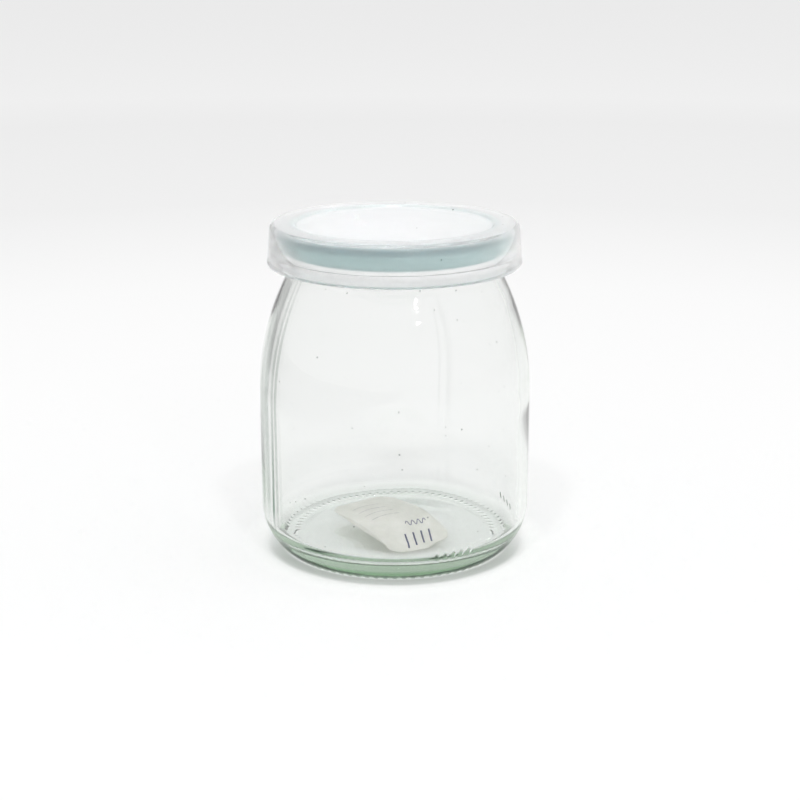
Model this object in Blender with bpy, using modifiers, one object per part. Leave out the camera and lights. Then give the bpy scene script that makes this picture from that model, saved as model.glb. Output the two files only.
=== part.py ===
"""A small pudding jar: clear glass on a knurled foot, a press-on plastic lid, and a paper label inside.

Metres, +Z up. The origin is the middle of the circle that the jar stands on.
"""
import math

import bmesh
import bpy
from mathutils import Matrix

MM = 0.001

# Glass, outer side
BODY_RADIUS = 33.0 * MM
BODY_BOTTOM = 10.9 * MM
BODY_TOP = 39.0 * MM
HEEL_ARC = 14.0 * MM
SHOULDER_ARC = 62.0 * MM
NECK_RADIUS = 25.6 * MM
NECK_FILLET = 4.0 * MM
BEAD_RADIUS = 27.7 * MM
BEAD_BOTTOM = 73.5 * MM
BEAD_FILLET = 0.7 * MM
BEAD_LOWER_ARC = 1.2 * MM
RIM_TOP = 78.85 * MM
RIM_OUTER_ARC = 2.2 * MM

# Glass, inner side
MOUTH_RADIUS = 23.5 * MM
RIM_INNER_ARC = 1.2 * MM
INNER_RADIUS = 30.7 * MM
INNER_TOP = 37.0 * MM
INNER_LOW_RADIUS = 30.2 * MM
INNER_SHOULDER_ARC = 70.0 * MM
FLOOR_TOP = 4.4 * MM
FLOOR_CORNER = 4.5 * MM

# Foot of the glass: a ring of knurls round a slightly raised middle
FOOT_INNER_RADIUS = 25.0 * MM
DISC_RADIUS = 20.6 * MM
DISC_EDGE_HEIGHT = 0.15 * MM
DISC_RISE = 0.5 * MM
KNURLS = 80
KNURL_RADIUS = 0.8 * MM
KNURL_INNER_DEPTH = 0.1 * MM
KNURL_OUTER_DEPTH = 0.5 * MM
KNURL_START = 24.3 * MM
KNURL_END = 28.8 * MM
BAR_SIDES = 12
SLOPE_STEPS = 4
DOME_STEPS = 2

# Lid
LID_TOP = 80.2 * MM
LID_WALL = 1.0 * MM
LID_EDGE_ARC = 1.2 * MM
LID_RADIUS = 29.9 * MM
LID_HEM_RADIUS = 30.6 * MM
LID_HEM_ARC = 0.9 * MM
LID_BOTTOM = 70.2 * MM
RECESS_DEPTH = 0.63 * MM
RECESS_RADIUS = 23.2 * MM
RECESS_SLOPE = 0.95 * MM
RECESS_STEPS = 3
SNAP_RADIUS = 27.0 * MM
SNAP_ARC = 0.85 * MM
SNAP_HEIGHT = 72.0 * MM
SKIRT_WALL = 1.3 * MM
HEM_INNER_RISE = 0.5 * MM
SNAP_STEP = 0.4 * MM
CEILING_CHAMFER = 0.8 * MM
UNDERSIDE_SHIFT = 0.3 * MM

# Paper label lying on the glass floor
LABEL_LENGTH = 28.0 * MM
LABEL_WIDTH = 17.0 * MM
LABEL_CORNER = 3.4 * MM
LABEL_THICKNESS = 0.2 * MM
LABEL_GAP = 0.3 * MM
LABEL_NEAR_END = (7.15 * MM, -16.4 * MM)
LABEL_TURN = math.radians(37.5)
LABEL_ARCH = 1.7 * MM
LABEL_CURL = 2.8 * MM
LABEL_FLARE = 2.3 * MM
LABEL_COLUMNS = 12
LABEL_ROWS = 6

# How finely the turned shapes are divided
TURN_STEPS = 64
SHOULDER_SEGMENTS = 8
CURVE_SEGMENTS = 6
EDGE_SEGMENTS = 4
HEM_SEGMENTS = 5
SMALL_SEGMENTS = 3
FILLET_SEGMENTS = 2
MERGE = 0.000001


def arc(centre, radius, start, end, segments):
    """Points on a circle arc in the (radius, height) plane, with angles in degrees."""
    points = []
    for index in range(segments + 1):
        angle = math.radians(start + (end - start) * index / segments)
        points.append((centre[0] + radius * math.cos(angle), centre[1] + radius * math.sin(angle)))
    return points


def shoulder(widest, start_height, radius, neck, fillet, segments):
    """Shoulder arc that leaves a cylinder, then the small fillet that turns it into the neck."""
    centre = (widest - radius, start_height)
    across = neck + fillet - centre[0]
    up = math.sqrt((radius + fillet) ** 2 - across ** 2)
    angle = math.degrees(math.atan2(up, across))
    rise = arc(centre, radius, 0.0, angle, segments)
    turn = arc((neck + fillet, start_height + up), fillet, 180.0 + angle, 180.0, SMALL_SEGMENTS)
    return rise + turn[1:]


def eased(share):
    """Smooth step from 0 to 1, level at both ends."""
    return 3.0 * share ** 2 - 2.0 * share ** 3


def glass_profile():
    """Half section of the glass, from the middle of its floor over the rim to its underside."""
    inside = [(0.0, FLOOR_TOP)]
    corner_centre = (INNER_LOW_RADIUS - FLOOR_CORNER, FLOOR_TOP + FLOOR_CORNER)
    inside += arc(corner_centre, FLOOR_CORNER, -90.0, 0.0, CURVE_SEGMENTS)
    inside += shoulder(INNER_RADIUS, INNER_TOP, INNER_SHOULDER_ARC, MOUTH_RADIUS, NECK_FILLET, CURVE_SEGMENTS)
    rim_inner = (MOUTH_RADIUS + RIM_INNER_ARC, RIM_TOP - RIM_INNER_ARC)
    rim_outer = (BEAD_RADIUS - RIM_OUTER_ARC, RIM_TOP - RIM_OUTER_ARC)
    rim = arc(rim_inner, RIM_INNER_ARC, 180.0, 90.0, SMALL_SEGMENTS)
    rim += arc(rim_outer, RIM_OUTER_ARC, 90.0, 0.0, EDGE_SEGMENTS)
    bead_centre = (BEAD_RADIUS - BEAD_LOWER_ARC, BEAD_BOTTOM + BEAD_LOWER_ARC)
    bead = arc(bead_centre, BEAD_LOWER_ARC, 0.0, -90.0, SMALL_SEGMENTS)
    under_bead = (NECK_RADIUS + BEAD_FILLET, BEAD_BOTTOM - BEAD_FILLET)
    bead += arc(under_bead, BEAD_FILLET, 90.0, 180.0, FILLET_SEGMENTS)
    outside = shoulder(BODY_RADIUS, BODY_TOP, SHOULDER_ARC, NECK_RADIUS, NECK_FILLET, SHOULDER_SEGMENTS)
    heel_end = -math.degrees(math.asin(BODY_BOTTOM / HEEL_ARC))
    heel = arc((BODY_RADIUS - HEEL_ARC, BODY_BOTTOM), HEEL_ARC, 0.0, heel_end, CURVE_SEGMENTS)
    foot = []
    for index in range(SLOPE_STEPS + 1):
        share = index / SLOPE_STEPS
        across = FOOT_INNER_RADIUS + (DISC_RADIUS - FOOT_INNER_RADIUS) * share
        foot.append((across, DISC_EDGE_HEIGHT * eased(share)))
    for index in range(1, DOME_STEPS + 1):
        share = index / DOME_STEPS
        rise = 1.0 - (1.0 - share) ** 2
        foot.append((DISC_RADIUS * (1.0 - share), DISC_EDGE_HEIGHT + DISC_RISE * rise))
    return inside + rim + bead + outside[::-1] + heel + foot


def lid_profile():
    """Half section of the lid, from the middle of its top over the skirt to its underside."""
    recess = LID_TOP - RECESS_DEPTH
    ring_inner = RECESS_RADIUS + RECESS_SLOPE
    top = [(0.0, recess)]
    for index in range(RECESS_STEPS + 1):
        share = index / RECESS_STEPS
        top.append((RECESS_RADIUS + RECESS_SLOPE * share, recess + RECESS_DEPTH * eased(share)))
    edge = arc((LID_RADIUS - LID_EDGE_ARC, LID_TOP - LID_EDGE_ARC), LID_EDGE_ARC, 90.0, 0.0, EDGE_SEGMENTS)
    hem_centre = (LID_HEM_RADIUS - LID_HEM_ARC, LID_BOTTOM + LID_HEM_ARC)
    hem = arc(hem_centre, LID_HEM_ARC, 30.0, -90.0, HEM_SEGMENTS)
    skirt_inner = LID_RADIUS - SKIRT_WALL
    snap = arc((SNAP_RADIUS + SNAP_ARC, SNAP_HEIGHT), SNAP_ARC, 240.0, 110.0, EDGE_SEGMENTS)
    ceiling = LID_TOP - LID_WALL
    underside = [
        (skirt_inner, LID_BOTTOM + HEM_INNER_RISE),
        *snap,
        (skirt_inner, SNAP_HEIGHT + SNAP_ARC + SNAP_STEP),
        (skirt_inner, ceiling - CEILING_CHAMFER),
        (skirt_inner - CEILING_CHAMFER, ceiling),
        (ring_inner - UNDERSIDE_SHIFT, ceiling),
        (RECESS_RADIUS - UNDERSIDE_SHIFT, recess - LID_WALL),
        (0.0, recess - LID_WALL),
    ]
    return top + edge + hem + underside


def link(name, mesh, collection):
    """Put a mesh into the scene as an object of the collection."""
    piece = bpy.data.objects.new(name, mesh)
    collection.objects.link(piece)
    return piece


def turned(name, profile, collection):
    """Turn a half section about the Z axis."""
    mesh = bpy.data.meshes.new(name)
    edges = [(index, index + 1) for index in range(len(profile) - 1)]
    mesh.from_pydata([(across, 0.0, height) for across, height in profile], edges, [])
    piece = link(name, mesh, collection)
    screw = piece.modifiers.new("Turn", "SCREW")
    screw.axis = "Z"
    screw.steps = TURN_STEPS
    screw.render_steps = TURN_STEPS
    screw.use_merge_vertices = True
    screw.merge_threshold = MERGE
    screw.use_smooth_shade = True
    return piece


def knurl_cutters(collection):
    """Round bars laid like spokes under the foot, rising outwards, one for each groove between two knurls."""
    bars = bmesh.new()
    length = KNURL_END - KNURL_START
    middle = (KNURL_END + KNURL_START) / 2
    middle_depth = (KNURL_INNER_DEPTH + KNURL_OUTER_DEPTH) / 2
    tilt = math.atan2(KNURL_OUTER_DEPTH - KNURL_INNER_DEPTH, length)
    for index in range(KNURLS):
        lay_down = Matrix.Rotation(math.pi / 2 - tilt, 4, "Y")
        out = Matrix.Translation((middle, 0.0, middle_depth - KNURL_RADIUS))
        around = Matrix.Rotation(math.tau * (index + 0.5) / KNURLS, 4, "Z")
        bmesh.ops.create_cone(
            bars,
            cap_ends=True,
            segments=BAR_SIDES,
            radius1=KNURL_RADIUS,
            radius2=KNURL_RADIUS,
            depth=length,
            matrix=around @ out @ lay_down,
        )
    mesh = bpy.data.meshes.new("knurl_cutters")
    bars.to_mesh(mesh)
    bars.free()
    cutters = link("knurl_cutters", mesh, collection)
    cutters.hide_render = True
    cutters.display_type = "WIRE"
    return cutters


def rounded(along, across):
    """Pull a point of the label's rectangle in where it lies outside the rounded corner."""
    corner_along = LABEL_LENGTH / 2 - LABEL_CORNER
    corner_across = LABEL_WIDTH / 2 - LABEL_CORNER
    past_along = max(abs(along) - corner_along, 0.0)
    past_across = max(abs(across) - corner_across, 0.0)
    reach = math.hypot(past_along, past_across)
    if reach <= LABEL_CORNER:
        return along, across
    shrink = LABEL_CORNER / reach
    return (
        math.copysign(corner_along + past_along * shrink, along),
        math.copysign(corner_across + past_across * shrink, across),
    )


def bent(along, across):
    """Point of the paper: it arches over its length, curls up at its far end and flares on one side."""
    share = min(max(along / LABEL_LENGTH + 0.5, 0.0), 1.0)
    arch = math.sin(math.pi * share)
    flared = across - LABEL_FLARE * arch * (0.5 - across / LABEL_WIDTH)
    return along, flared, LABEL_ARCH * arch + LABEL_CURL * share ** 2


def paper_label(collection):
    """Thin rounded sheet, bent by the height rule and laid on the glass floor."""
    sheet = bmesh.new()
    bmesh.ops.create_grid(sheet, x_segments=LABEL_COLUMNS, y_segments=LABEL_ROWS, size=0.5)
    for vertex in sheet.verts:
        along, across = rounded(vertex.co.x * LABEL_LENGTH, vertex.co.y * LABEL_WIDTH)
        vertex.co = bent(along, across)
    mesh = bpy.data.meshes.new("paper_label")
    turn = Matrix.Rotation(LABEL_TURN + math.pi / 2, 4, "Z")
    lift = Matrix.Translation((*LABEL_NEAR_END, FLOOR_TOP + LABEL_GAP + LABEL_THICKNESS))
    sheet.transform(lift @ turn @ Matrix.Translation((LABEL_LENGTH / 2, 0.0, 0.0)))
    sheet.to_mesh(mesh)
    sheet.free()
    label = link("paper_label", mesh, collection)
    wall = label.modifiers.new("Thickness", "SOLIDIFY")
    wall.thickness = LABEL_THICKNESS
    wall.offset = -1.0
    return label


def material(name, colour, roughness, transmission=0.0):
    """Plain finish of one piece."""
    finish = bpy.data.materials.new(name)
    finish.use_nodes = True
    shader = finish.node_tree.nodes["Principled BSDF"]
    shader.inputs["Base Color"].default_value = (*colour, 1.0)
    shader.inputs["Roughness"].default_value = roughness
    shader.inputs["Metallic"].default_value = 0.0
    shader.inputs["Transmission Weight"].default_value = transmission
    finish.diffuse_color = (*colour, 1.0)
    return finish


def clear_scene():
    """Remove every object that the file holds."""
    for item in list(bpy.data.objects):
        bpy.data.objects.remove(item, do_unlink=True)


def new_collection(name):
    """Collection linked under the scene."""
    collection = bpy.data.collections.new(name)
    bpy.context.scene.collection.children.link(collection)
    return collection


def main():
    clear_scene()
    parts = new_collection("pudding_jar")
    cutters = new_collection("cutters")

    glass = turned("glass_jar", glass_profile(), parts)
    glass.data.materials.append(material("clear_glass", (0.82, 0.9, 0.85), 0.02, 1.0))
    knurling = glass.modifiers.new("Knurls", "BOOLEAN")
    knurling.operation = "DIFFERENCE"
    knurling.solver = "EXACT"
    knurling.object = knurl_cutters(cutters)

    lid = turned("lid", lid_profile(), parts)
    lid.data.materials.append(material("frosted_plastic", (0.78, 0.87, 0.9), 0.35, 0.5))

    label = paper_label(parts)
    label.data.materials.append(material("label_paper", (0.7, 0.68, 0.62), 0.85))


main()
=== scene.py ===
"""Looks of the small glass jar: turned glass, press-on lid, curled paper label, camera, floor and light."""
import math

import bpy
import numpy as np
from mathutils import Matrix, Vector


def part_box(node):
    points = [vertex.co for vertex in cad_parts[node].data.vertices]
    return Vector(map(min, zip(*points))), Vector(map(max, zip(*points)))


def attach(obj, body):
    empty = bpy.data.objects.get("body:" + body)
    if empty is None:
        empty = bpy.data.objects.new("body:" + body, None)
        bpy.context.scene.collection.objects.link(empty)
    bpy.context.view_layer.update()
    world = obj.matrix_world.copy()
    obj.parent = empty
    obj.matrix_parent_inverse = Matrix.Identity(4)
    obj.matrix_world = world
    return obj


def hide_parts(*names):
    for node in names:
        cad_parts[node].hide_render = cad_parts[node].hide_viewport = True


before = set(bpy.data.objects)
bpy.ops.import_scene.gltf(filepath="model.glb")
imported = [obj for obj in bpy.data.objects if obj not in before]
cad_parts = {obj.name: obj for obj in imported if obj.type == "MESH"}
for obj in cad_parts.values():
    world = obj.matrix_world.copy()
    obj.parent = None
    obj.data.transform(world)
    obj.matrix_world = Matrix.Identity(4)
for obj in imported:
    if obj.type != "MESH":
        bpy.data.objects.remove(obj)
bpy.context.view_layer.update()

MM = 0.001
GLASS_LOW, GLASS_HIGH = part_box("glass_jar")
LID_LOW, LID_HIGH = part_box("lid")
LABEL_LOW, LABEL_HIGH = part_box("paper_label")

# Glass, outer side
BODY_RADIUS = GLASS_HIGH.x
BODY_BOTTOM = 10.9 * MM
BODY_TOP = 39.0 * MM
HEEL_ARC = 14.0 * MM
SHOULDER_ARC = 62.0 * MM
NECK_RADIUS = 25.6 * MM
NECK_FILLET = 4.0 * MM
BEAD_RADIUS = 27.7 * MM
BEAD_BOTTOM = 73.5 * MM
BEAD_FILLET = 0.7 * MM
BEAD_LOWER_ARC = 1.2 * MM
RIM_TOP = GLASS_HIGH.z
RIM_OUTER_ARC = 2.2 * MM

# Glass, inner side
MOUTH_RADIUS = 23.5 * MM
RIM_INNER_ARC = 1.2 * MM
INNER_RADIUS = 30.7 * MM
INNER_TOP = 37.0 * MM
INNER_LOW_RADIUS = 30.2 * MM
INNER_SHOULDER_ARC = 70.0 * MM
FLOOR_TOP = 4.4 * MM
FLOOR_CORNER = 4.5 * MM

# Foot of the glass
FOOT_INNER_RADIUS = 25.0 * MM
DISC_RADIUS = 20.6 * MM
DISC_EDGE_HEIGHT = 0.15 * MM
DISC_RISE = 0.5 * MM
KNURLS = 80
KNURL_STATIONS = (23.9 * MM, 24.2 * MM, 24.8 * MM, 27.6 * MM, 27.85 * MM, 28.6 * MM)
KNURL_DEPTHS = (0.0, 0.22 * MM, 0.0, 0.0, 0.4 * MM, 0.5 * MM)
KNURL_WIDTHS = (0.6 * MM, 0.6 * MM, 0.6 * MM, 1.3 * MM, 1.4 * MM, 1.4 * MM)
INNER_RIDGE = 0.12 * MM
INNER_RIDGE_HEIGHT = 41.0 * MM
INNER_RIDGE_REACH = 1.2 * MM
GLASS_AROUND = 560
HEEL_MARKS = 5
HEEL_MARK_START = (math.radians(-72.0), 6.6 * MM)
HEEL_MARK_STEP = (math.radians(3.7), 0.15 * MM)
MARK_RISE = 0.34 * MM
MARK_REACH = (0.32 * MM, 0.9 * MM)
INNER_WAVE = 0.16 * MM

# Short strokes of painted shade on the wall, where the mould's ticks stand, low at the right, as (angle, height)
TICKS = 4
TICK_START = (math.radians(-41.0), 19.6 * MM)
TICK_STEP = (math.radians(2.4), -1.35 * MM)
TICK_REACH = (math.radians(0.7), -1.6 * MM)
TICK_WIDTH = 0.3 * MM

# Lid
LID_TOP = LID_HIGH.z
LID_WALL = 1.0 * MM
LID_EDGE_ARC = 1.2 * MM
LID_RADIUS = 29.9 * MM
LID_HEM_RADIUS = 30.6 * MM
LID_HEM_ARC = 0.9 * MM
LID_BOTTOM = LID_LOW.z
RECESS_DEPTH = 0.63 * MM
RECESS_RADIUS = 23.2 * MM
RECESS_SLOPE = 0.95 * MM
SNAP_RADIUS = 27.0 * MM
SNAP_ARC = 0.85 * MM
SNAP_HEIGHT = 72.0 * MM
LID_AROUND = 480

# Paper label
LABEL_LENGTH = 28.0 * MM
LABEL_WIDTH = 17.0 * MM
LABEL_CORNER = 3.4 * MM
LABEL_THICKNESS = 0.12 * MM
LABEL_GAP = 0.05 * MM
LABEL_NEAR_END = (7.15 * MM, -16.4 * MM)
LABEL_TURN = math.radians(37.5)
LABEL_ARCH = 1.7 * MM
LABEL_CURL = 2.8 * MM
LABEL_FLARE = 2.3 * MM

# Pen and pencil on the label, as (along, across)
STROKE_THICKNESS = 0.02 * MM
STROKE_GAP = 0.01 * MM
PEN_WIDTH = 0.42 * MM
SCRIBBLE_WIDTH = 0.2 * MM
TALLIES = 4
TALLY_FIRST = (1.3 * MM, 3.7 * MM)
TALLY_LAST = (0.7 * MM, -2.6 * MM)
TALLY_REACH = (4.6 * MM, -1.9 * MM)
WAVE_START = (9.9 * MM, -0.9 * MM)
WAVE_END = (9.0 * MM, -5.8 * MM)
WAVE_SWING = 1.0 * MM
WAVE_TURNS = 3.5
PENCIL_WIDTH = 0.16 * MM
PENCILS = 4
PENCIL_START = (15.5 * MM, 4.6 * MM)
PENCIL_STEP = 2.6 * MM
PENCIL_REACH = -7.5 * MM
PENCIL_BOW = 0.9 * MM

# Finish
BODY_TINT = (1.0, 0.995, 1.0)
SPECK_TINT = (0.12, 0.13, 0.12)
PALE_SPECK_TINT = (0.30, 0.31, 0.30)
# Painted shade of the dark streaks on the front of the left wall
LEFT_WALL_SHADE_TINT = (0.04, 0.10, 0.06)
# Painted shade on the front of the heel, and the heights it spans
HEEL_SHADE_TINT = (0.34, 0.56, 0.34)
HEEL_SHADE_BAND = (0.6 * MM, 1.1 * MM, 2.1 * MM, 3.0 * MM)
# Bead: teal, the glass's own colour through its thickness, paler at its sides and back, and painted shade at its top
RIM_TINT = (0.36, 0.62, 0.62)
RIM_PALE = (0.80, 0.94, 0.94)
RIM_SHADE = (0.05, 0.22, 0.26)
DISC_TINT = (0.955, 0.985, 1.0)
AQUA_TINT = (0.88, 0.96, 0.96)
RING_TINT = (0.98, 0.985, 0.995)
SKIRT_TINT = (0.985, 0.99, 0.99)

# Floor, as (distance from the jar's axis, level): a painted pool of light, whitest round the jar
FLOOR_REACH = 4.0
FLOOR_GAP = 0.02 * MM
FLOOR_LIGHT_LEVELS = ((0.0, 0.93), (0.17, 0.93), (0.30, 0.925), (0.39, 0.90), (0.50, 0.87), (0.84, 0.88), (1.0, 0.92))
CRESCENT_SPAN = 60.0 * MM
CRESCENT = ((27.4 * MM, 0.0), (28.6 * MM, 1.0), (31.0 * MM, 1.0), (32.3 * MM, 0.0))
CRESCENT_LEVEL = 0.62
GLOW = ((0.0, 0.14), (22.0 * MM, 0.14), (27.0 * MM, 0.2), (33.0 * MM, 0.2), (35.0 * MM, 0.1), (38.5 * MM, 0.0))

# Camera
VIEW_DISTANCE = 408.6 * MM
VIEW_HEIGHT = 155.0 * MM
VIEW_SIDE = 1.27 * MM
VIEW_PITCH = math.radians(16.25)
IMAGE_PIXELS = 800
FOCAL_PIXELS = 1733.0
SENSOR_MM = 36.0


def arc(centre, radius, start, end, segments):
    """Circle arc in the (radius, height) plane: centre plus radius times cosine and sine of the angle."""
    angles = np.radians(np.linspace(start, end, segments + 1))
    return np.stack([centre[0] + radius * np.cos(angles), centre[1] + radius * np.sin(angles)], axis=1)


def line(start, end, segments):
    """Straight run between two points, both ends left out."""
    share = np.linspace(0.0, 1.0, segments + 1)[1:-1, None]
    return np.array(start) * (1.0 - share) + np.array(end) * share


def shoulder(widest, start_height, radius, neck, fillet, segments):
    """Shoulder arc that leaves a cylinder, then the fillet, tangent to the arc and to the neck."""
    centre = (widest - radius, start_height)
    across = neck + fillet - centre[0]
    up = math.sqrt((radius + fillet) ** 2 - across ** 2)
    angle = math.degrees(math.atan2(up, across))
    rise = arc(centre, radius, 0.0, angle, segments)
    turn = arc((neck + fillet, start_height + up), fillet, 180.0 + angle, 180.0, 5)
    return np.concatenate([rise, turn[1:]])


def joined(*runs):
    """Runs of points put end to end, with a point dropped where two runs meet."""
    points = np.concatenate([np.atleast_2d(run) for run in runs])
    step = np.linalg.norm(np.diff(points, axis=0), axis=1)
    return points[np.concatenate([[True], step > 1e-7])]


def glass_profile():
    """Half section of the glass, from the middle of the floor over the rim to the underside's middle."""
    corner_centre = (INNER_LOW_RADIUS - FLOOR_CORNER, FLOOR_TOP + FLOOR_CORNER)
    corner = arc(corner_centre, FLOOR_CORNER, -90.0, 0.0, 14)
    inner_shoulder = shoulder(INNER_RADIUS, INNER_TOP, INNER_SHOULDER_ARC, MOUTH_RADIUS, NECK_FILLET, 16)
    rim_inner = (MOUTH_RADIUS + RIM_INNER_ARC, RIM_TOP - RIM_INNER_ARC)
    rim_outer = (BEAD_RADIUS - RIM_OUTER_ARC, RIM_TOP - RIM_OUTER_ARC)
    bead_centre = (BEAD_RADIUS - BEAD_LOWER_ARC, BEAD_BOTTOM + BEAD_LOWER_ARC)
    fillet_centre = (NECK_RADIUS + BEAD_FILLET, BEAD_BOTTOM - BEAD_FILLET)
    outer_shoulder = shoulder(BODY_RADIUS, BODY_TOP, SHOULDER_ARC, NECK_RADIUS, NECK_FILLET, 14)[::-1]
    heel_end = -math.degrees(math.asin(BODY_BOTTOM / HEEL_ARC))
    heel = arc((BODY_RADIUS - HEEL_ARC, BODY_BOTTOM), HEEL_ARC, 0.0, heel_end, 24)
    share = np.linspace(0.0, 1.0, 9)
    slope_radius = FOOT_INNER_RADIUS + (DISC_RADIUS - FOOT_INNER_RADIUS) * share
    slope = np.stack([slope_radius, DISC_EDGE_HEIGHT * (3.0 * share ** 2 - 2.0 * share ** 3)], axis=1)
    dome = np.linspace(1.0, 0.0, 6)[1:, None] * (DISC_RADIUS, 0.0)
    dome[:, 1] = DISC_EDGE_HEIGHT + DISC_RISE * (1.0 - (dome[:, 0] / DISC_RADIUS) ** 2)
    return joined(
        (0.0, FLOOR_TOP),
        line((0.0, FLOOR_TOP), corner[0], 6),
        corner,
        line(corner[-1], inner_shoulder[0], 12),
        inner_shoulder,
        arc(rim_inner, RIM_INNER_ARC, 180.0, 90.0, 5),
        arc(rim_outer, RIM_OUTER_ARC, 90.0, 0.0, 7),
        arc(bead_centre, BEAD_LOWER_ARC, 0.0, -90.0, 5),
        arc(fillet_centre, BEAD_FILLET, 90.0, 180.0, 3),
        outer_shoulder,
        line(outer_shoulder[-1], heel[0], 15),
        heel,
        heel[-1],
        line(heel[-1], (FOOT_INNER_RADIUS, 0.0), 9),
        slope,
        dome,
    )


def lid_profile():
    """Half section of the lid, from the middle of its top over the skirt to the underside's middle."""
    recess = LID_TOP - RECESS_DEPTH
    ring_inner = RECESS_RADIUS + RECESS_SLOPE
    ramp_share = np.linspace(0.0, 1.0, 7)
    ramp = np.stack(
        [
            RECESS_RADIUS + RECESS_SLOPE * ramp_share,
            recess + RECESS_DEPTH * (3.0 * ramp_share ** 2 - 2.0 * ramp_share ** 3),
        ],
        axis=1,
    )
    edge = arc((LID_RADIUS - LID_EDGE_ARC, LID_TOP - LID_EDGE_ARC), LID_EDGE_ARC, 90.0, 0.0, 9)
    hem = arc((LID_HEM_RADIUS - LID_HEM_ARC, LID_BOTTOM + LID_HEM_ARC), LID_HEM_ARC, 30.0, -90.0, 10)
    skirt_inner = LID_RADIUS - LID_WALL - 0.3 * MM
    snap = arc((SNAP_RADIUS + SNAP_ARC, SNAP_HEIGHT), SNAP_ARC, 240.0, 110.0, 8)
    ceiling = LID_TOP - LID_WALL
    corner = arc((skirt_inner - 0.8 * MM, ceiling - 0.8 * MM), 0.8 * MM, 0.0, 90.0, 5)
    return joined(
        (0.0, recess),
        line((0.0, recess), ramp[0], 8),
        ramp,
        line(ramp[-1], edge[0], 5),
        edge,
        line(edge[-1], hem[0], 4),
        hem,
        (skirt_inner, LID_BOTTOM + 0.5 * MM),
        snap,
        (skirt_inner, SNAP_HEIGHT + SNAP_ARC + 0.4 * MM),
        corner,
        (ring_inner - 0.3 * MM, ceiling),
        (RECESS_RADIUS - 0.3 * MM, recess - LID_WALL),
        line((RECESS_RADIUS - 0.3 * MM, recess - LID_WALL), (0.0, recess - LID_WALL), 8),
        (0.0, recess - LID_WALL),
    )


def build_mesh(name, points, faces):
    """Smooth-shaded mesh object from point and face arrays."""
    mesh = bpy.data.meshes.new(name)
    mesh.from_pydata(points, [], faces)
    mesh.shade_smooth()
    piece = bpy.data.objects.new(name, mesh)
    bpy.context.scene.collection.objects.link(piece)
    return piece


def turned(name, profile, around, shape=None):
    """Surface of revolution closed at both poles: point (r, z) of ring i goes to (r cos a, r sin a, z) at angle a.

    shape may move the rings' radii and heights, as arrays over ring and angle, before they are placed.
    """
    angles = np.linspace(0.0, math.tau, around, endpoint=False)
    rings = len(profile) - 2
    radii = np.repeat(profile[1:-1, 0][:, None], around, axis=1)
    heights = np.repeat(profile[1:-1, 1][:, None], around, axis=1)
    if shape:
        radii, heights = shape(radii, heights, np.arange(rings)[:, None], angles[None, :])
    body = np.stack([radii * np.cos(angles), radii * np.sin(angles), heights], axis=2).reshape(-1, 3)
    poles = [(0.0, 0.0, profile[0, 1]), (0.0, 0.0, profile[-1, 1])]
    points = np.concatenate([body, poles])
    first, last = rings * around, rings * around + 1
    here = np.arange(around)
    after = (here + 1) % around
    row = np.arange(rings - 1)[:, None] * around
    quads = np.stack([row + here, row + around + here, row + around + after, row + after], axis=2).reshape(-1, 4)
    start = np.stack([np.full(around, first), here, after], axis=1)
    top = (rings - 1) * around
    end = np.stack([np.full(around, last), top + after, top + here], axis=1)
    return build_mesh(name, points.tolist(), quads.tolist() + start.tolist() + end.tolist())


def glass_shape(radii, heights, ring, angles):
    """Knurl the foot, let the inner side wave as blown glass does, and raise the mould's marks.

    A groove's height over the table is depth * (1 - (2 s / width)^2), with s the distance along the circle
    from the groove's middle and a depth and width that change with the radius. The underside takes the higher of
    the two. A mark's rise falls with exp(-(s / a)^2 - (h / b)^2) round its middle.
    """
    rim_ring = int(np.argmax(GLASS_SECTION[:, 1]))
    pitch = math.tau / KNURLS
    turn = (angles + pitch) % pitch - pitch / 2
    beside = np.abs(turn * radii)
    width = np.interp(radii, KNURL_STATIONS, KNURL_WIDTHS)
    groove = np.interp(radii, KNURL_STATIONS, KNURL_DEPTHS) * (1.0 - (2.0 * beside / width) ** 2)
    under = (ring > rim_ring) & (radii > KNURL_STATIONS[0]) & (radii < KNURL_STATIONS[-1])
    heights = np.where(under, np.maximum(heights, groove), heights)
    inner_wall = (ring < rim_ring) & (radii > INNER_LOW_RADIUS - FLOOR_CORNER)
    rise = heights / RIM_TOP
    wave = 0.55 * np.sin(2.0 * angles + 3.1 * rise + 0.4) + 0.3 * np.sin(3.0 * angles - 7.0 * rise + 1.9)
    wave = wave + 0.15 * np.sin(7.0 * angles + 11.0 * rise)
    fade = np.clip((heights - FLOOR_TOP) / (6.0 * MM), 0.0, 1.0) * np.clip((RIM_TOP - heights) / (12.0 * MM), 0.0, 1.0)
    ridge = np.exp(-(((heights - INNER_RIDGE_HEIGHT - 1.5 * MM * np.sin(2.0 * angles)) / INNER_RIDGE_REACH) ** 2))
    radii = np.where(inner_wall, radii + INNER_WAVE * wave * fade - INNER_RIDGE * ridge, radii)
    outer_wall = (ring > rim_ring) & (radii > KNURL_STATIONS[-1])
    mark_angles, mark_heights = (np.arange(HEEL_MARKS)[:, None] * HEEL_MARK_STEP + HEEL_MARK_START).T
    beside = np.abs((angles[..., None] - mark_angles + math.pi) % math.tau - math.pi) * BODY_RADIUS
    above = heights[..., None] - mark_heights
    marks = np.exp(-((beside / MARK_REACH[0]) ** 2) - (above / MARK_REACH[1]) ** 2).max(axis=-1)
    radii = np.where(outer_wall, radii + MARK_RISE * marks, radii)
    return radii, heights


GLASS_SECTION = glass_profile()


def material(name):
    """New node material, with its tree and its Principled shader."""
    finish = bpy.data.materials.new(name)
    finish.use_nodes = True
    tree = finish.node_tree
    return finish, tree, tree.nodes["Principled BSDF"]


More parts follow.
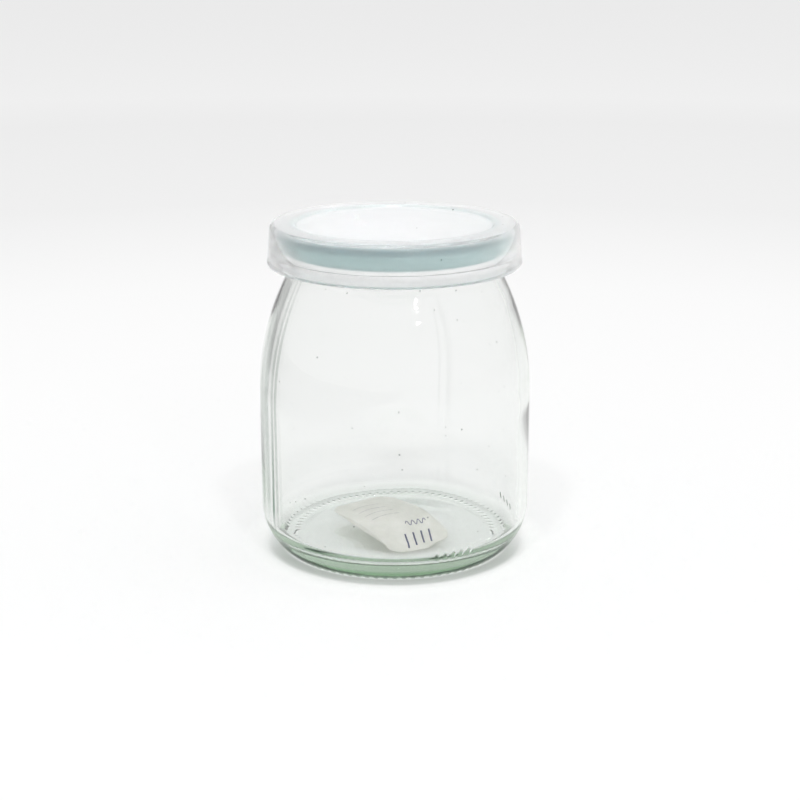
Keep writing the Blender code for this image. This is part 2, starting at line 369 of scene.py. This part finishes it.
def noise(tree, scale, detail=2.0, roughness=0.5, stretch=(1.0, 1.0, 1.0)):
    """Noise on Object coordinates, in features per metre."""
    place = tree.nodes.new("ShaderNodeTexCoord")
    mapping = tree.nodes.new("ShaderNodeMapping")
    mapping.inputs["Scale"].default_value = stretch
    texture = tree.nodes.new("ShaderNodeTexNoise")
    texture.inputs["Scale"].default_value = scale
    texture.inputs["Detail"].default_value = detail
    texture.inputs["Roughness"].default_value = roughness
    tree.links.new(place.outputs["Object"], mapping.inputs["Vector"])
    tree.links.new(mapping.outputs["Vector"], texture.inputs["Vector"])
    return texture.outputs["Fac"]


def spread(tree, value, low, high, to_low, to_high):
    """Map a value's range onto another range."""
    node = tree.nodes.new("ShaderNodeMapRange")
    node.inputs["From Min"].default_value = low
    node.inputs["From Max"].default_value = high
    node.inputs["To Min"].default_value = to_low
    node.inputs["To Max"].default_value = to_high
    tree.links.new(value, node.inputs["Value"])
    return node.outputs["Result"]


def bump(tree, shader, height, strength, distance):
    """Small relief from a height value."""
    node = tree.nodes.new("ShaderNodeBump")
    node.inputs["Strength"].default_value = strength
    node.inputs["Distance"].default_value = distance
    tree.links.new(height, node.inputs["Height"])
    tree.links.new(node.outputs["Normal"], shader.inputs["Normal"])


def absorb(tree, colour, density):
    """Tint that grows with the way light goes inside the piece."""
    volume = tree.nodes.new("ShaderNodeVolumeAbsorption")
    volume.inputs["Color"].default_value = (*colour, 1.0)
    volume.inputs["Density"].default_value = density
    tree.links.new(volume.outputs["Volume"], tree.nodes["Material Output"].inputs["Volume"])


def position(tree):
    """Height over the table, distance from the axis, and place from front to back, of the shaded point."""
    place = tree.nodes.new("ShaderNodeTexCoord")
    parts = tree.nodes.new("ShaderNodeSeparateXYZ")
    flat = tree.nodes.new("ShaderNodeVectorMath")
    flat.operation = "MULTIPLY"
    flat.inputs[1].default_value = (1.0, 1.0, 0.0)
    length = tree.nodes.new("ShaderNodeVectorMath")
    length.operation = "LENGTH"
    tree.links.new(place.outputs["Object"], parts.inputs["Vector"])
    tree.links.new(place.outputs["Object"], flat.inputs[0])
    tree.links.new(flat.outputs["Vector"], length.inputs[0])
    return parts.outputs["Z"], length.outputs["Value"], parts.outputs["Y"]


def sideways(tree):
    """Cosine of the angle, round the axis, between the shaded point and the jar's left side."""
    place = tree.nodes.new("ShaderNodeTexCoord")
    flat = tree.nodes.new("ShaderNodeVectorMath")
    flat.operation = "MULTIPLY"
    flat.inputs[1].default_value = (1.0, 1.0, 0.0)
    unit = tree.nodes.new("ShaderNodeVectorMath")
    unit.operation = "NORMALIZE"
    along = tree.nodes.new("ShaderNodeVectorMath")
    along.operation = "DOT_PRODUCT"
    along.inputs[1].default_value = (-1.0, 0.0, 0.0)
    tree.links.new(place.outputs["Object"], flat.inputs[0])
    tree.links.new(flat.outputs["Vector"], unit.inputs[0])
    tree.links.new(unit.outputs["Vector"], along.inputs[0])
    return along.outputs["Value"]


def ramp(tree, value, stops):
    """Colours along a value from 0 to 1."""
    node = tree.nodes.new("ShaderNodeValToRGB")
    elements = node.color_ramp.elements
    while len(elements) < len(stops):
        elements.new(0.5)
    for element, (place, colour) in zip(elements, stops):
        element.position = place
        element.color = (*colour, 1.0)
    tree.links.new(value, node.inputs["Fac"])
    return node.outputs["Color"]


def grey(level):
    """Colour with three equal parts."""
    return (level, level, level)


def product(tree, first, second):
    """Two values multiplied."""
    node = tree.nodes.new("ShaderNodeMath")
    node.operation = "MULTIPLY"
    tree.links.new(first, node.inputs[0])
    tree.links.new(second, node.inputs[1])
    return node.outputs["Value"]


def mixed(tree, colour, other, share):
    """Colour that turns into another one as the share grows from 0 to 1."""
    node = tree.nodes.new("ShaderNodeMix")
    node.data_type = "RGBA"
    tree.links.new(share, node.inputs["Factor"])
    tree.links.new(colour, node.inputs["A"])
    node.inputs["B"].default_value = (*other, 1.0)
    return node.outputs["Result"]


def specks(tree, scale, size):
    """1 inside small round specks strewn through space, else 0; the size is a share of their spacing."""
    place = tree.nodes.new("ShaderNodeTexCoord")
    cells = tree.nodes.new("ShaderNodeTexVoronoi")
    cells.inputs["Scale"].default_value = scale
    tree.links.new(place.outputs["Object"], cells.inputs["Vector"])
    return spread(tree, cells.outputs["Distance"], size, size * 1.3, 1.0, 0.0)


def clouded(tree, colour, value, low):
    """Colour made a little darker, down to a share of itself, where a value from 0 to 1 is low."""
    shade = tree.nodes.new("ShaderNodeVectorMath")
    shade.operation = "SCALE"
    tree.links.new(colour, shade.inputs[0])
    tree.links.new(spread(tree, value, 0.3, 0.7, low, 1.0), shade.inputs["Scale"])
    return shade.outputs["Vector"]


def clear_glass():
    """Soda-lime glass: clear, green through its thick foot, with faint waves and smears. The bead is painted teal, the
    glass's own colour through its thickness, made paler at its sides and back and with a line of painted shade at its
    top; painted shade also darkens streaks on the front of the left wall and a band on the front of the heel.
    """
    finish, tree, shader = material("clear_glass")
    height, radius, depth = position(tree)
    share = spread(tree, height, 0.0, RIM_TOP, 0.0, 1.0)
    bead = BEAD_BOTTOM / RIM_TOP
    # The bead's teal is the glass's own colour through its thickness; the darker line at its top rounding is painted
    # shade.
    tint = ramp(
        tree,
        share,
        [
            (0.0, BODY_TINT),
            (bead - 0.004, BODY_TINT),
            (bead + 0.002, RIM_TINT),
            (0.974, RIM_TINT),
            (0.982, RIM_SHADE),
            (0.994, RIM_SHADE),
            (0.998, RIM_TINT),
        ],
    )
    # Painted shade and light: the bead keeps its deep teal at the front and turns paler towards its sides and back.
    side = product(tree, spread(tree, share, bead, bead + 0.002, 0.0, 0.55), spread(tree, depth, -23.0 * MM, -11.0 * MM, 0.0, 1.0))
    tint = mixed(tree, tint, RIM_PALE, side)
    # Painted shade: dark streaks on the front of the left wall, broken up by noise, fading towards the floor and the
    # top.
    streaks = ramp(tree, sideways(tree), [(0.869, grey(0.0)), (0.874, grey(1.0)), (0.887, grey(1.0)), (0.893, grey(0.05)), (0.948, grey(0.05)), (0.958, grey(0.9)), (0.974, grey(0.9)), (0.986, grey(0.25))])
    shade_breakup = spread(tree, noise(tree, 260.0, 3.0, 0.6, (1.0, 1.0, 0.07)), 0.35, 0.65, 0.55, 1.0)
    below = ramp(tree, share, [(0.06, grey(0.0)), (0.16, grey(1.0)), (0.45, grey(1.0)), (0.88, grey(0.35))])
    front = spread(tree, depth, -2.0 * MM, -6.0 * MM, 0.0, 1.0)
    strength = product(tree, product(tree, streaks, shade_breakup), product(tree, below, front))
    tint = mixed(tree, tint, LEFT_WALL_SHADE_TINT, strength)
    # Painted shade: the glass's green darkened in a band low on the front of the heel, where the shade under the foot
    # shows through.
    heel_shade = ramp(
        tree,
        spread(tree, height, 0.0, RIM_TOP, 0.0, RIM_TOP / BODY_BOTTOM),
        [(stop / BODY_BOTTOM, grey(level)) for stop, level in zip(HEEL_SHADE_BAND, (0.0, 1.0, 1.0, 0.0))],
    )
    near = spread(tree, depth, 0.0, -12.0 * MM, 0.0, 1.0)
    tint = mixed(tree, tint, HEEL_SHADE_TINT, product(tree, product(tree, heel_shade, near), spread(tree, radius, 0.0279, 0.0285, 0.0, 1.0)))
    tint = mixed(tree, tint, PALE_SPECK_TINT, specks(tree, 180.0, 0.0335))
    tree.links.new(tint, shader.inputs["Base Color"])
    # Half the bead's light is diffuse, so its painted teal and shade show as surface colour.
    bead_paint_share = spread(tree, share, bead - 0.002, bead + 0.002, 1.0, 0.5)
    tree.links.new(bead_paint_share, shader.inputs["Transmission Weight"])
    shader.inputs["IOR"].default_value = 1.52
    smears = noise(tree, 90.0, 3.0, 0.6)
    tree.links.new(spread(tree, smears, 0.5, 0.9, 0.0, 0.05), shader.inputs["Roughness"])
    bump(tree, shader, noise(tree, 110.0, 1.0, 0.4, (1.0, 1.0, 0.5)), 0.25, 0.1 * MM)
    absorb(tree, (0.165, 0.41, 0.175), 17.0)
    return finish


def frosted_plastic():
    """Natural polypropylene: a milky bluish middle, a less milky ring and a skirt that is nearly clear."""
    finish, tree, shader = material("frosted_plastic")
    _, radius, _ = position(tree)
    share = spread(tree, radius, 0.0, LID_HEM_RADIUS, 0.0, 1.0)
    disc = RECESS_RADIUS / LID_HEM_RADIUS
    ring = (RECESS_RADIUS + RECESS_SLOPE) / LID_HEM_RADIUS
    skirt = (LID_RADIUS - LID_EDGE_ARC) / LID_HEM_RADIUS
    clouds = noise(tree, 160.0, 3.0, 0.55)
    tint = ramp(tree, share, [(disc, DISC_TINT), (disc + 0.01, AQUA_TINT), (ring, AQUA_TINT), (ring + 0.05, RING_TINT), (skirt, RING_TINT), (skirt + 0.03, SKIRT_TINT)])
    tint = mixed(tree, clouded(tree, tint, clouds, 0.97), SPECK_TINT, specks(tree, 150.0, 0.028))
    tree.links.new(tint, shader.inputs["Base Color"])
    clear = ramp(tree, share, [(disc, grey(0.30)), (ring, grey(0.50)), (skirt - 0.02, grey(0.55)), (skirt + 0.005, grey(0.90))])
    tree.links.new(clear, shader.inputs["Transmission Weight"])
    matt = ramp(tree, share, [(disc, grey(0.50)), (ring, grey(0.36)), (skirt, grey(0.30)), (skirt + 0.03, grey(0.13))])
    tree.links.new(matt, shader.inputs["Roughness"])
    shader.inputs["Subsurface Weight"].default_value = 1.0
    shader.inputs["Subsurface Radius"].default_value = (1.0, 1.0, 1.0)
    shader.inputs["Subsurface Scale"].default_value = 1.2 * MM
    shader.inputs["IOR"].default_value = 1.1
    shader.inputs["Coat Weight"].default_value = 0.8
    shader.inputs["Coat Roughness"].default_value = 0.08
    bump(tree, shader, clouds, 0.2, 0.05 * MM)
    return finish


def label_paper():
    """Off-white paper with fibres and a little grime."""
    finish, tree, shader = material("label_paper")
    shader.inputs["Roughness"].default_value = 0.85
    grime = noise(tree, 220.0, 4.0, 0.6)
    ramp = tree.nodes.new("ShaderNodeValToRGB")
    ramp.color_ramp.elements[0].position = 0.3
    ramp.color_ramp.elements[0].color = (0.72, 0.72, 0.66, 1.0)
    ramp.color_ramp.elements[1].position = 0.7
    ramp.color_ramp.elements[1].color = (0.86, 0.85, 0.80, 1.0)
    tree.links.new(grime, ramp.inputs["Fac"])
    tree.links.new(ramp.outputs["Color"], shader.inputs["Base Color"])
    bump(tree, shader, noise(tree, 2500.0, 3.0, 0.6), 0.3, 0.03 * MM)
    return finish


def ink():
    """Dark navy pen ink, thinner in places."""
    finish, tree, shader = material("pen_ink")
    tint = ramp(tree, noise(tree, 1800.0, 2.0), [(0.35, (0.015, 0.02, 0.09)), (0.7, (0.05, 0.06, 0.17))])
    tree.links.new(tint, shader.inputs["Base Color"])
    shader.inputs["Roughness"].default_value = 0.5
    return finish


def pencil():
    """Soft grey pencil, broken up by the paper's grain."""
    finish, tree, shader = material("pencil")
    tint = ramp(tree, noise(tree, 2600.0, 3.0), [(0.35, (0.33, 0.34, 0.33)), (0.65, (0.62, 0.62, 0.58))])
    tree.links.new(tint, shader.inputs["Base Color"])
    shader.inputs["Roughness"].default_value = 0.7
    return finish


def glass_shadow():
    """Painted shade: dark grey-green of a small mould mark seen edge on, broken up a little."""
    finish, tree, shader = material("glass_shadow")
    tint = ramp(tree, noise(tree, 1500.0, 2.0), [(0.35, (0.16, 0.20, 0.17)), (0.65, (0.34, 0.39, 0.35))])
    tree.links.new(tint, shader.inputs["Base Color"])
    shader.inputs["Roughness"].default_value = 0.15
    return finish


def label_point(along, across):
    """Place of a point of the paper, along 0 to 1 and across -1 to 1, as arrays.

    The square's corners are pulled onto a round corner, then the sheet arches with sin(pi t), curls up
    with t squared and flares to one side, and is turned and laid on the glass floor.
    """
    length = (along - 0.5) * LABEL_LENGTH
    side = across * LABEL_WIDTH / 2
    corner_length = LABEL_LENGTH / 2 - LABEL_CORNER
    corner_side = LABEL_WIDTH / 2 - LABEL_CORNER
    past_length = np.clip(np.abs(length) - corner_length, 0.0, None)
    past_side = np.clip(np.abs(side) - corner_side, 0.0, None)
    shrink = LABEL_CORNER / np.maximum(np.hypot(past_length, past_side), LABEL_CORNER)
    cornered = shrink < 1.0
    length = np.where(cornered, np.sign(length) * (corner_length + past_length * shrink), length)
    side = np.where(cornered, np.sign(side) * (corner_side + past_side * shrink), side)
    share = np.clip(length / LABEL_LENGTH + 0.5, 0.0, 1.0)
    arch = np.sin(math.pi * share)
    side = side - LABEL_FLARE * arch * (0.5 - side / LABEL_WIDTH)
    lift = LABEL_ARCH * arch + LABEL_CURL * share ** 2
    forward = length + LABEL_LENGTH / 2
    turn = LABEL_TURN + math.pi / 2
    x = LABEL_NEAR_END[0] + forward * math.cos(turn) - side * math.sin(turn)
    y = LABEL_NEAR_END[1] + forward * math.sin(turn) + side * math.cos(turn)
    z = FLOOR_TOP + LABEL_GAP + LABEL_THICKNESS + lift
    return np.stack([x, y, z * np.ones_like(x)], axis=-1)


def paper_label():
    """Closed thin sheet: the upper face is a grid of label points, the lower one lies a thickness below."""
    columns, rows = 120, 60
    along, across = np.meshgrid(np.linspace(0.0, 1.0, columns), np.linspace(-1.0, 1.0, rows), indexing="ij")
    upper = label_point(along, across).reshape(-1, 3)
    lower = upper - (0.0, 0.0, LABEL_THICKNESS)
    index = np.arange(columns * rows).reshape(columns, rows)
    quads = np.stack([index[:-1, :-1], index[1:, :-1], index[1:, 1:], index[:-1, 1:]], axis=2).reshape(-1, 4)
    rim = np.concatenate([index[:, 0], index[-1, 1:], index[-2::-1, -1], index[0, -2:0:-1]])
    after = np.roll(rim, -1)
    below = columns * rows
    walls = np.stack([after, rim, rim + below, after + below], axis=1)
    faces = np.concatenate([quads, quads[:, ::-1] + below, walls])
    piece = build_mesh("label_sheet", np.concatenate([upper, lower]).tolist(), faces.tolist())
    return piece


def paper_place(run, lift):
    """Places a lift above the paper of points given as (along, across) in metres."""
    return label_point(run[:, 0] / LABEL_LENGTH, 2.0 * run[:, 1] / LABEL_WIDTH) + (0.0, 0.0, lift)


def wall_place(run, lift):
    """Places a lift outside the jar's wall of points given as (way round the wall, height) in metres."""
    angle = run[:, 0] / BODY_RADIUS
    radius = BODY_RADIUS + lift
    return np.stack([radius * np.cos(angle), radius * np.sin(angle), run[:, 1]], axis=1)


def strokes(name, lines, width, place):
    """Thin closed ribbons lying on the surface that place gives, one for each line of points.

    At each point the ribbon has four corners: half a width to either side, on the surface and a little over it.
    """
    points, faces, first = [], [], 0
    for run in lines:
        ahead = np.gradient(run, axis=0)
        ahead = ahead / np.linalg.norm(ahead, axis=1)[:, None]
        aside = np.stack([-ahead[:, 1], ahead[:, 0]], axis=1) * width / 2
        left, right = run + aside, run - aside
        base, top = STROKE_GAP, STROKE_GAP + STROKE_THICKNESS
        corners = [place(left, top), place(right, top), place(right, base), place(left, base)]
        corners = np.stack(corners, axis=1)
        points.append(corners.reshape(-1, 3))
        near = first + 4 * np.arange(len(run) - 1)[:, None]
        turn, after = np.arange(4), (np.arange(4) + 1) % 4
        quads = np.stack([near + turn, near + after, near + 4 + after, near + 4 + turn], axis=2).reshape(-1, 4)
        last = first + 4 * (len(run) - 1)
        caps = np.array([[first + 3, first + 2, first + 1, first], [last, last + 1, last + 2, last + 3]])
        faces.append(np.concatenate([quads, caps]))
        first += 4 * len(run)
    return build_mesh(name, np.concatenate(points).tolist(), np.concatenate(faces).tolist())


def tally_lines():
    """Four slanted tally strokes near the paper's end."""
    share = np.linspace(0.0, 1.0, 12)[:, None]
    return [start + share * TALLY_REACH for start in np.linspace(TALLY_FIRST, TALLY_LAST, TALLIES)]


def scribble_line():
    """Wavy line behind the tally: a sine swing along the paper while it goes across."""
    share = np.linspace(0.0, 1.0, 90)
    swing = WAVE_SWING * np.sin(share * WAVE_TURNS * math.tau)
    along = WAVE_START[0] + (WAVE_END[0] - WAVE_START[0]) * share + swing
    across = WAVE_START[1] + (WAVE_END[1] - WAVE_START[1]) * share - 0.4 * swing
    return np.stack([along, across], axis=1)


def tick_lines():
    """Short strokes in a slanting row, as (way round the wall, height)."""
    share = np.linspace(0.0, 1.0, 6)[:, None]
    size = (BODY_RADIUS, 1.0)
    starts = np.arange(TICKS)[:, None] * TICK_STEP + TICK_START
    return [(start + share * TICK_REACH) * size for start in starts]


def pencil_lines():
    """Faint slightly bowed lines on the paper's far half."""
    share = np.linspace(0.0, 1.0, 30)[:, None]
    middle = (PENCIL_START[0] + np.arange(PENCILS) * PENCIL_STEP)[:, None]
    return [
        np.concatenate([row + PENCIL_BOW * np.sin(math.pi * share), PENCIL_START[1] + PENCIL_REACH * share], axis=1)
        for row in middle
    ]


def stage_floor():
    """Large pale floor with a painted pool of light, white round the jar and greyer further away, and painted shade
    past its left edge.

    Light that the glass gathers makes it glow under the jar and behind it, and the heel's overhang
    shades a narrow crescent in front.
    """
    mesh = bpy.data.meshes.new("floor")
    corners = [(-FLOOR_REACH, -FLOOR_REACH, 0.0), (FLOOR_REACH, -FLOOR_REACH, 0.0)]
    corners += [(FLOOR_REACH, FLOOR_REACH, 0.0), (-FLOOR_REACH, FLOOR_REACH, 0.0)]
    mesh.from_pydata(corners, [], [(0, 1, 2, 3)])
    floor = bpy.data.objects.new("floor", mesh)
    bpy.context.scene.collection.objects.link(floor)
    floor.location.z = -FLOOR_GAP
    finish, tree, shader = material("floor_paper")
    shader.inputs["Roughness"].default_value = 0.9
    shader.inputs["Specular IOR Level"].default_value = 0.1
    _, distance, depth = position(tree)
    # Painted pool of light: white round the jar, greyer further away.
    pale = ramp(tree, distance, [(place, grey(level)) for place, level in FLOOR_LIGHT_LEVELS])
    place = tree.nodes.new("ShaderNodeTexCoord")
    across = tree.nodes.new("ShaderNodeVectorMath")
    across.operation = "DOT_PRODUCT"
    across.inputs[1].default_value = (1.0, 0.23, 0.0)
    tree.links.new(place.outputs["Object"], across.inputs[0])
    # Painted shade: the floor turns greyer past its left edge.
    side = spread(tree, across.outputs["Value"], -0.2, -0.11, 0.6, 1.0)
    near = spread(tree, distance, 0.0, CRESCENT_SPAN, 0.0, 1.0)
    crescent = ramp(tree, near, [(place / CRESCENT_SPAN, grey(level)) for place, level in CRESCENT])
    front = spread(tree, depth, 5.0 * MM, -15.0 * MM, 0.0, 1.0)
    pale = mixed(tree, pale, grey(CRESCENT_LEVEL), product(tree, crescent, front))
    shade = tree.nodes.new("ShaderNodeVectorMath")
    shade.operation = "SCALE"
    tree.links.new(pale, shade.inputs[0])
    tree.links.new(side, shade.inputs["Scale"])
    tree.links.new(shade.outputs["Vector"], shader.inputs["Base Color"])
    gathered = ramp(tree, near, [(place / CRESCENT_SPAN, grey(level)) for place, level in GLOW])
    behind = spread(tree, depth, -8.0 * MM, 20.0 * MM, 0.35, 1.0)
    shader.inputs["Emission Color"].default_value = (1.0, 1.0, 1.0, 1.0)
    tree.links.new(product(tree, gathered, behind), shader.inputs["Emission Strength"])
    mesh.materials.append(finish)


def area_light(name, azimuth, elevation, distance, size, power, aim=(0.0, 0.0, 0.04)):
    """Soft light at an angle round the jar; azimuth 0 is the camera's side, and grows to the right."""
    light = bpy.data.lights.new(name, "AREA")
    light.shape = "RECTANGLE"
    light.size, light.size_y = size
    light.energy = power
    lamp = bpy.data.objects.new(name, light)
    bpy.context.scene.collection.objects.link(lamp)
    turn, up = math.radians(azimuth), math.radians(elevation)
    out = Vector((math.sin(turn) * math.cos(up), -math.cos(turn) * math.cos(up), math.sin(up)))
    lamp.location = Vector(aim) + out * distance
    lamp.rotation_euler = (-out).to_track_quat("-Z", "Y").to_euler()
    return lamp


def world_light(level, tilt, overhead):
    """Soft room light: a level that grows from the left side to the right, and a brighter round ceiling."""
    world = bpy.data.worlds.new("room")
    world.use_nodes = True
    tree = world.node_tree
    place = tree.nodes.new("ShaderNodeTexCoord")
    parts = tree.nodes.new("ShaderNodeSeparateXYZ")
    tree.links.new(place.outputs["Generated"], parts.inputs["Vector"])
    side = spread(tree, parts.outputs["X"], -1.0, 1.0, level * (1.0 - tilt), level * (1.0 + tilt))
    ceiling = spread(tree, parts.outputs["Z"], math.cos(math.radians(32.0)), math.cos(math.radians(16.0)), 0.0, overhead)
    total = tree.nodes.new("ShaderNodeMath")
    total.operation = "ADD"
    tree.links.new(side, total.inputs[0])
    tree.links.new(ceiling, total.inputs[1])
    background = tree.nodes["Background"]
    background.inputs["Color"].default_value = (1.0, 1.0, 1.0, 1.0)
    tree.links.new(total.outputs["Value"], background.inputs["Strength"])
    bpy.context.scene.world = world


def camera():
    """Camera at the photograph's place and angle."""
    data = bpy.data.cameras.new("camera")
    data.sensor_width = SENSOR_MM
    data.lens = FOCAL_PIXELS / IMAGE_PIXELS * SENSOR_MM
    data.clip_start = 0.01
    data.clip_end = 50.0
    item = bpy.data.objects.new("camera", data)
    item.location = (VIEW_SIDE, -VIEW_DISTANCE, VIEW_HEIGHT)
    item.rotation_euler = (math.pi / 2 - VIEW_PITCH, 0.0, 0.0)
    bpy.context.scene.collection.objects.link(item)
    bpy.context.scene.camera = item


def main():
    camera()
    glass = turned("glass_body", GLASS_SECTION, GLASS_AROUND, glass_shape)
    glass.data.materials.append(clear_glass())
    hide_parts("glass_jar")
    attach(glass, "root")

    lid = turned("lid_shell", lid_profile(), LID_AROUND)
    lid.data.materials.append(frosted_plastic())
    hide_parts("lid")
    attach(lid, "root")

    label = paper_label()
    label.data.materials.append(label_paper())
    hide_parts("paper_label")
    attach(label, "root")

    pen = strokes("pen_strokes", tally_lines(), PEN_WIDTH, paper_place)
    pen.data.materials.append(ink())
    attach(pen, "root")
    scribble = strokes("pen_scribble", [scribble_line()], SCRIBBLE_WIDTH, paper_place)
    scribble.data.materials.append(pen.data.materials[0])
    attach(scribble, "root")
    lead = strokes("pencil_strokes", pencil_lines(), PENCIL_WIDTH, paper_place)
    lead.data.materials.append(pencil())
    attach(lead, "root")
    # Painted shade: dark slivers on the wall stand for the mould's small ticks.
    ticks = strokes("mould_tick_shades", tick_lines(), TICK_WIDTH, wall_place)
    ticks.data.materials.append(glass_shadow())
    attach(ticks, "root")

    stage_floor()
    world_light(0.85, 0.10, 0.24)
    area_light("overhead", 0.0, 88.0, 1.1, (0.16, 0.16), 1.0)
    area_light("lamp_a", 23.5, 29.4, 1.5, (0.08, 0.025), 0.25)
    area_light("lamp_b", 23.5, 34.3, 1.5, (0.08, 0.007), 0.05)
    area_light("lamp_c", 23.5, 37.2, 1.5, (0.08, 0.007), 0.05)
    area_light("lamp_d", 23.5, 39.4, 1.5, (0.08, 0.007), 0.05)
    area_light("spot_left", -22.0, 62.0, 1.2, (0.06, 0.05), 0.9)
    area_light("spot_right", 22.0, 62.0, 1.2, (0.06, 0.05), 0.9)

    scene = bpy.context.scene
    scene.view_settings.view_transform = "Standard"
    scene.cycles.max_bounces = 32
    scene.cycles.transmission_bounces = 32
    scene.cycles.transparent_max_bounces = 32
    scene.cycles.glossy_bounces = 32
    scene.cycles.diffuse_bounces = 12
    scene.cycles.blur_glossy = 0.0
    scene.cycles.sample_clamp_indirect = 0.0


main()
